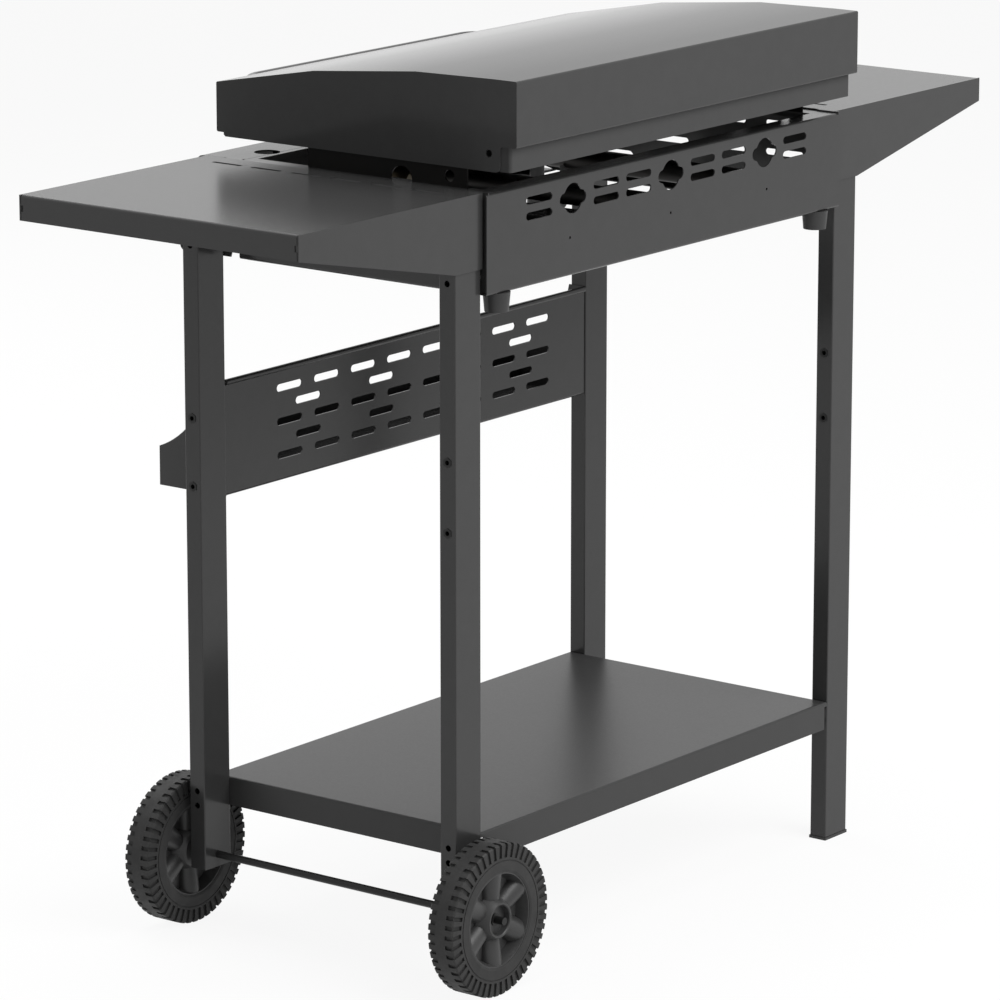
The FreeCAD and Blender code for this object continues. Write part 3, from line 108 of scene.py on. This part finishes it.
def add_world():
    world = bpy.data.worlds.new("studio")
    bpy.context.scene.world = world
    world.use_nodes = True
    tree = world.node_tree
    background = tree.nodes["Background"]
    background.inputs["Color"].default_value = (1, 1, 1, 1)
    level = tree.nodes.new("ShaderNodeMapRange")
    level.inputs["To Min"].default_value = WORLD_LEVEL
    level.inputs["To Max"].default_value = 1.0
    tree.links.new(seen_directly(tree), level.inputs["Value"])
    tree.links.new(level.outputs["Result"], background.inputs["Strength"])


def add_floor():
    half = FLOOR_SIZE / 2
    mesh = bpy.data.meshes.new("floor")
    corners = [(-half, -half, 0), (half, -half, 0), (half, half, 0), (-half, half, 0)]
    mesh.from_pydata(corners, [], [(0, 1, 2, 3)])
    floor = bpy.data.objects.new("floor", mesh)
    bpy.context.scene.collection.objects.link(floor)
    material = bpy.data.materials.new("floor")
    material.use_nodes = True
    tree = material.node_tree
    matt = tree.nodes["Principled BSDF"]
    matt.inputs["Base Color"].default_value = (FLOOR_WHITE, FLOOR_WHITE, FLOOR_WHITE, 1)
    matt.inputs["Roughness"].default_value = FLOOR_ROUGHNESS
    glow = tree.nodes.new("ShaderNodeEmission")
    glow.inputs["Strength"].default_value = 1.0
    share = tree.nodes.new("ShaderNodeMath")
    share.operation = "MULTIPLY"
    share.inputs[1].default_value = FLOOR_GLOW
    tree.links.new(seen_directly(tree), share.inputs[0])
    blend = tree.nodes.new("ShaderNodeMixShader")
    tree.links.new(share.outputs[0], blend.inputs["Fac"])
    tree.links.new(matt.outputs[0], blend.inputs[1])
    tree.links.new(glow.outputs[0], blend.inputs[2])
    tree.links.new(blend.outputs[0], tree.nodes["Material Output"].inputs["Surface"])
    mesh.materials.append(material)


# Materials

class Surface:
    """A principled material with helpers for layered noise in the object's own metres."""

    def __init__(self, name, color, roughness, metallic=0.0, specular=0.5):
        self.material = bpy.data.materials.new(name)
        self.material.use_nodes = True
        self.tree = self.material.node_tree
        self.shader = self.tree.nodes["Principled BSDF"]
        self.shader.inputs["Base Color"].default_value = (*color, 1)
        self.shader.inputs["Roughness"].default_value = roughness
        self.shader.inputs["Metallic"].default_value = metallic
        self.shader.inputs["Specular IOR Level"].default_value = specular
        self.place = self.tree.nodes.new("ShaderNodeTexCoord").outputs["Object"]
        self.normal = None

    def stretched(self, factors):
        mapping = self.tree.nodes.new("ShaderNodeMapping")
        mapping.inputs["Scale"].default_value = factors
        self.tree.links.new(self.place, mapping.inputs["Vector"])
        return mapping.outputs["Vector"]

    def noise(self, per_metre, detail=3.0, rough=0.55, place=None):
        node = self.tree.nodes.new("ShaderNodeTexNoise")
        node.inputs["Scale"].default_value = per_metre
        node.inputs["Detail"].default_value = detail
        node.inputs["Roughness"].default_value = rough
        self.tree.links.new(place or self.place, node.inputs["Vector"])
        return node.outputs["Fac"]

    def ranged(self, value, low, high, start=0.3, stop=0.7):
        node = self.tree.nodes.new("ShaderNodeMapRange")
        node.inputs["From Min"].default_value = start
        node.inputs["From Max"].default_value = stop
        node.inputs["To Min"].default_value = low
        node.inputs["To Max"].default_value = high
        self.tree.links.new(value, node.inputs["Value"])
        return node.outputs["Result"]

    def mottle(self, value, dark, light, start=0.3, stop=0.7):
        ramp = self.tree.nodes.new("ShaderNodeValToRGB")
        ramp.color_ramp.elements[0].position = start
        ramp.color_ramp.elements[0].color = (*dark, 1)
        ramp.color_ramp.elements[1].position = stop
        ramp.color_ramp.elements[1].color = (*light, 1)
        self.tree.links.new(value, ramp.inputs["Fac"])
        self.tree.links.new(ramp.outputs["Color"], self.shader.inputs["Base Color"])

    def vary_roughness(self, value, low, high):
        self.tree.links.new(self.ranged(value, low, high), self.shader.inputs["Roughness"])

    def bump(self, value, depth, strength=1.0):
        node = self.tree.nodes.new("ShaderNodeBump")
        node.inputs["Distance"].default_value = depth
        node.inputs["Strength"].default_value = strength
        self.tree.links.new(value, node.inputs["Height"])
        if self.normal is not None:
            self.tree.links.new(self.normal, node.inputs["Normal"])
        self.normal = node.outputs["Normal"]
        self.tree.links.new(self.normal, self.shader.inputs["Normal"])


def shade(level, tint=(1.0, 1.0, 1.0)):
    return tuple(level * t for t in tint)


def powder_coat(name="powder_coat", level=0.034, roughness=(0.17, 0.2), specular=0.31, peel=0.25):
    # baked black powder: a fine orange-peel skin with faint cloudiness
    s = Surface(name, shade(level), roughness[0], specular=specular)
    s.mottle(s.noise(per_metre=60, detail=4.0), shade(level * 0.97), shade(level * 1.03))
    s.vary_roughness(s.noise(per_metre=420), *roughness)
    s.bump(s.noise(per_metre=750, detail=2.0), depth=0.00006, strength=peel)
    return s.material


def moulded_plastic(name, level, roughness=(0.42, 0.55), specular=0.35):
    # spark-eroded mould texture on black plastic
    s = Surface(name, shade(level), roughness[0], specular=specular)
    s.mottle(s.noise(per_metre=26), shade(level * 0.9), shade(level * 1.1))
    s.vary_roughness(s.noise(per_metre=60, detail=2.0), *roughness)
    s.bump(s.noise(per_metre=2200, detail=2.0), depth=0.00006, strength=0.5)
    return s.material


def tyre_rubber():
    # dull rubber, a little warmer and paler in patches
    s = Surface("tyre_rubber", shade(0.03), 0.6, specular=0.25)
    s.mottle(s.noise(per_metre=42, detail=4.0), shade(0.026), shade(0.034, (1.01, 1.0, 0.99)))
    s.vary_roughness(s.noise(per_metre=90), 0.55, 0.7)
    s.bump(s.noise(per_metre=900), depth=0.00012, strength=0.5)
    return s.material


def soft_rubber(level=0.02):
    # small moulded bumpers
    s = Surface("bumper_rubber", shade(level), 0.7, specular=0.3)
    s.mottle(s.noise(per_metre=120), shade(level * 0.85), shade(level * 1.25))
    s.bump(s.noise(per_metre=1500, detail=2.0), depth=0.00006, strength=0.4)
    return s.material


def plated_steel(name, level, stretch, roughness, tint=(1.0, 1.0, 1.0)):
    # drawn or rolled metal with fine lines along one axis
    s = Surface(name, shade(level, tint), roughness[0], metallic=1.0)
    lines = s.noise(per_metre=420, place=s.stretched(stretch))
    s.mottle(lines, shade(level * 0.86, tint), shade(level * 1.08, tint))
    s.vary_roughness(lines, *roughness)
    s.bump(lines, depth=0.00003, strength=0.35)
    return s.material


def ceramic():
    # glazed white insulator with a faint warm cast
    s = Surface("ceramic", (0.83, 0.81, 0.76), 0.25)
    s.mottle(s.noise(per_metre=300), (0.78, 0.76, 0.71), (0.86, 0.84, 0.8))
    s.bump(s.noise(per_metre=900, detail=2.0), depth=0.00003, strength=0.3)
    return s.material


def griddle_iron():
    # seasoned carbon steel: a nearly black film with patchy sheen, its colour darkened further as painted
    # shade of the body round the plate
    s = Surface("griddle_iron", shade(0.007), 0.45, specular=0.08)
    cloud = s.noise(per_metre=14, detail=5.0, rough=0.6)
    s.mottle(cloud, (0.005, 0.0048, 0.0046), (0.01, 0.0094, 0.0088))
    s.vary_roughness(cloud, 0.38, 0.55)
    s.bump(s.noise(per_metre=600, detail=4.0), depth=0.00012, strength=0.4)
    return s.material


# Lid skin: the strip that the CAD bends, with the crown shaded as one drawn curve.
# LID_LINE is the middle of the sheet from the back hem over the crown to the front hem, as (y, z).
# The runs that end at the points in CROWN_RUNS have normals CROWN_TILT degrees forward of upright.
# A turn under SOFT_TURN radians is a plain crease, and a sharper one is a round bend.

LID_LINE = ((-0.211, 0.85665), (-0.22175, 0.85665), (-0.22175, 0.92125), (-0.1919, 0.92125),
            (-0.0966, 0.91955), (0.0331, 0.90765), (0.15935, 0.88455), (0.15935, 0.83495),
            (0.1509, 0.83495))
LID_HALF_SHEET = 0.00075
LID_BEND = 0.0012
LID_REACH = 0.2956
CROWN_RUNS = (3, 4, 5, 6)
CROWN_TILT = (-5.5, -5.0, -0.8, 7.2, 12.2)
BEND_STEPS = 4
SOFT_TURN = 0.3


def lid_strip():
    # stations along the strip: (outer point, inner point), and the normals at both ends of each stretch
    stations, normals = [], []
    line = [Vector(spot) for spot in LID_LINE]
    last = len(line) - 1

    def left(run):
        return Vector((-run.y, run.x))

    def add(middle, aside, reach):
        stations.append((middle + aside * reach, middle - aside * reach))

    runs = [(line[i + 1] - line[i]).normalized() for i in range(last)]
    add(line[0], left(runs[0]), LID_HALF_SHEET)
    for i in range(1, last + 1):
        flat = left(runs[i - 1])
        if i in CROWN_RUNS:
            at = i - CROWN_RUNS[0]
            tilts = [math.radians(CROWN_TILT[at + end]) for end in (0, 1)]
            normals.append([Vector((math.sin(t), math.cos(t))) for t in tilts])
        else:
            normals.append([flat, flat])
        if i == last:
            add(line[i], flat, LID_HALF_SHEET)
            continue
        turn = runs[i - 1].angle_signed(runs[i])
        if abs(turn) < SOFT_TURN:
            aside = (flat + left(runs[i])).normalized()
            add(line[i], aside, LID_HALF_SHEET / math.cos(turn / 2))
            continue
        way = -1 if turn > 0 else 1
        back = LID_BEND * math.tan(abs(turn) / 2)
        centre = line[i] - runs[i - 1] * back + flat * (way * LID_BEND)
        spokes = []
        for step in range(BEND_STEPS + 1):
            share = step / BEND_STEPS
            spokes.append((flat * (1 - share) + left(runs[i]) * share).normalized())
        for step, spoke in enumerate(spokes):
            add(centre - spoke * (way * LID_BEND), spoke, LID_HALF_SHEET)
            if step:
                normals.append([spokes[step - 1], spoke])
    return stations, normals


def lid_skin():
    # each station has four corners: outer and inner at one end of the lid, then at the other
    stations, normals = lid_strip()
    mesh = bpy.data.meshes.new("lid_skin_drawn")
    verts = []
    for outer, inner in stations:
        for x in (-LID_REACH, LID_REACH):
            verts += [(x, outer.x, outer.y), (x, inner.x, inner.y)]
    faces, shading = [], []

    def add(corners, corner_normals):
        faces.append(corners)
        shading.extend(corner_normals)

    for k, (start, stop) in enumerate(normals):
        a, b = 4 * k, 4 * k + 4
        n0, n1 = Vector((0, *start)), Vector((0, *stop))
        add((a, a + 2, b + 2, b), (n0, n0, n1, n1))
        add((a + 1, b + 1, b + 3, a + 3), (-n0, -n1, -n1, -n0))
        add((a, b, b + 1, a + 1), [Vector((-1, 0, 0))] * 4)
        add((a + 2, a + 3, b + 3, b + 2), [Vector((1, 0, 0))] * 4)
    end = 4 * len(normals)
    add((0, 1, 3, 2), [Vector((0, 1, 0))] * 4)
    add((end, end + 2, end + 3, end + 1), [Vector((0, -1, 0))] * 4)
    mesh.from_pydata(verts, [], faces)
    mesh.polygons.foreach_set("use_smooth", [True] * len(mesh.polygons))
    mesh.normals_split_custom_set(shading)
    skin = bpy.data.objects.new("lid_skin_drawn", mesh)
    bpy.context.scene.collection.objects.link(skin)
    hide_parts("lid_skin")
    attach(skin, "lid")
    return skin


# Small sheet details on the fixed body

DECK_BACK = 0.1155
DECK_TOP = 0.8091
DECK_BEND = 0.008
DECK_REACH = 0.3041
# thickness left where the corner meets the flat deck
DECK_FEATHER = 0.0002
DRAIN_SPOT = (-0.2494, 0.1335)
DRAIN_RADIUS = 0.0135
DRAIN_STEPS = 16


def add_lofted(name, lofts, body):
    # one object of closed forms, each through sections with the same number of corners
    verts, faces = [], []
    for sections in lofts:
        size = len(sections[0])
        first = len(verts)
        last = first + size * (len(sections) - 1)
        verts += [corner for section in sections for corner in section]
        faces += [tuple(range(first, first + size)), tuple(range(last, last + size))]
        for base in range(first, last, size):
            for i in range(size):
                j = (i + 1) % size
                faces.append((base + i, base + j, base + size + j, base + size + i))
    mesh = bpy.data.meshes.new(name)
    mesh.from_pydata(verts, [], faces)
    form = bmesh.new()
    form.from_mesh(mesh)
    bmesh.ops.recalc_face_normals(form, faces=form.faces)
    form.to_mesh(mesh)
    form.free()
    piece = bpy.data.objects.new(name, mesh)
    bpy.context.scene.collection.objects.link(piece)
    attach(piece, body)
    return piece


def deck_corner():
    # sharpens the bend behind the deck, open round the drain hole
    front = DECK_BACK + DECK_BEND
    foot = DECK_TOP - DECK_BEND
    across = [-DECK_REACH]
    for i in range(DRAIN_STEPS + 1):
        across.append(DRAIN_SPOT[0] - DRAIN_RADIUS * math.cos(math.pi * i / DRAIN_STEPS))
    across.append(DECK_REACH)
    sections = []
    for x in across:
        aside = min(abs(x - DRAIN_SPOT[0]), DRAIN_RADIUS)
        y = min(front, DRAIN_SPOT[1] - math.sqrt(DRAIN_RADIUS ** 2 - aside ** 2))
        bend = foot + math.sqrt(DECK_BEND ** 2 - (front - y) ** 2)
        sections.append([(x, DECK_BACK, foot), (x, DECK_BACK, DECK_TOP), (x, y, DECK_TOP),
                         (x, y, bend - DECK_FEATHER)])
    return add_lofted("deck_corner", [sections], "station")


# The body's side and the shelf's plate, between which each tab runs
TAB_EDGE = (0.3045, 0.3058)
TAB_ALONG = ((-0.1943, -0.167), (0.142, 0.164))
TAB_HEIGHT = (0.8045, 0.8106)
TAB_CHAMFER = 0.0003


def tab_edges():
    # the side shelves' tabs run on to the body, with a broken edge along the top
    lofts = []
    low, high = TAB_HEIGHT
    for side in (-1, 1):
        inner, outer = (side * x for x in TAB_EDGE)
        for ends in TAB_ALONG:
            lofts.append([[(outer, y, low), (inner, y, low), (inner, y, high - TAB_CHAMFER),
                           (inner + side * TAB_CHAMFER, y, high), (outer, y, high)] for y in ends])
    return add_lofted("shelf_tab_edges", lofts, "station")


# Finish of each node, and the whole scene

def slot_materials():
    # one material for each slot of the record
    return {
        "powder_coat": powder_coat(),
        "lid_coat": powder_coat("lid_coat", level=0.05, roughness=(0.11, 0.13), specular=0.13, peel=0.12),
        "black_plastic": moulded_plastic("black_plastic", level=0.03),
        "hub_plastic": moulded_plastic("hub_plastic", level=0.036, roughness=(0.34, 0.44)),
        "tyre_rubber": tyre_rubber(),
        "bumper_rubber": soft_rubber(),
        "dark_steel": powder_coat("dark_steel", level=0.012, roughness=(0.3, 0.38), specular=0.25),
        "zinc_steel": plated_steel("zinc_steel", 0.42, (1, 1, 1), (0.3, 0.45)),
        "stainless": plated_steel("stainless", 0.58, (0.06, 1, 1), (0.24, 0.38)),
        "pipe_steel": powder_coat("pipe_steel", level=0.04, roughness=(0.4, 0.5), specular=0.25),
        # the brass is darkened far below bare brass as painted shade of the closed body the valves sit in
        "valve_brass": plated_steel("valve_brass", 0.08, (1, 1, 0.2), (0.4, 0.55), (1.0, 0.84, 0.56)),
        "ceramic": ceramic(),
        "griddle_iron": griddle_iron(),
    }


def own_finishes(by_slot):
    # nodes whose finish differs from the rest of their slot: the shelves take a duller coat, the burners
    # carry a faint heat tint and are darkened as painted shade of the closed body, the inlet is coated
    # black, and the hinge pins take the darkest coat, also standing in as painted shade of their holes
    finishes = {
        "gas_inlet": by_slot["pipe_steel"],
        # the hinge pins' very dark coat is partly painted shade of the holes they sit in
        "hinge_pins": by_slot["dark_steel"],
        "bottom_shelf": powder_coat("shelf_coat", level=0.033, roughness=(0.32, 0.36), specular=0.26,
                                    peel=0.3),
    }
    # burner steel: a faint warm heat tint, with its darkness painted shade of the closed body round the
    # burners
    heat_tint_painted_shade = plated_steel("heat_tint_painted_shade_steel", 0.045, (1, 0.06, 1), (0.4, 0.55), (1.0, 0.97, 0.94))
    for place in ("wheel_side", "middle", "foot_side"):
        finishes["burner_" + place] = heat_tint_painted_shade
    table = powder_coat("table_coat", level=0.034, roughness=(0.225, 0.255), specular=0.34, peel=0.3)
    for place in ("wheel_side", "foot_side"):
        finishes["side_shelf_" + place] = table
    return finishes


def dress_nodes(by_slot):
    for part in frame["record"]["subparts"]:
        mesh = nodes[part["node"]].data
        mesh.materials.clear()
        mesh.materials.append(by_slot[part["material_slot"]])
    for name, material in own_finishes(by_slot).items():
        nodes[name].data.materials[0] = material


def add_pieces(by_slot):
    for piece in (deck_corner(), tab_edges()):
        piece.data.materials.append(by_slot["powder_coat"])
    lid_skin().data.materials.append(by_slot["lid_coat"])


def main():
    scene = bpy.context.scene
    scene.view_settings.view_transform = "Standard"
    add_camera()
    add_world()
    add_floor()
    for name, settings in LIGHTS.items():
        add_area_light(name, *settings)
    by_slot = slot_materials()
    dress_nodes(by_slot)
    add_pieces(by_slot)


main()
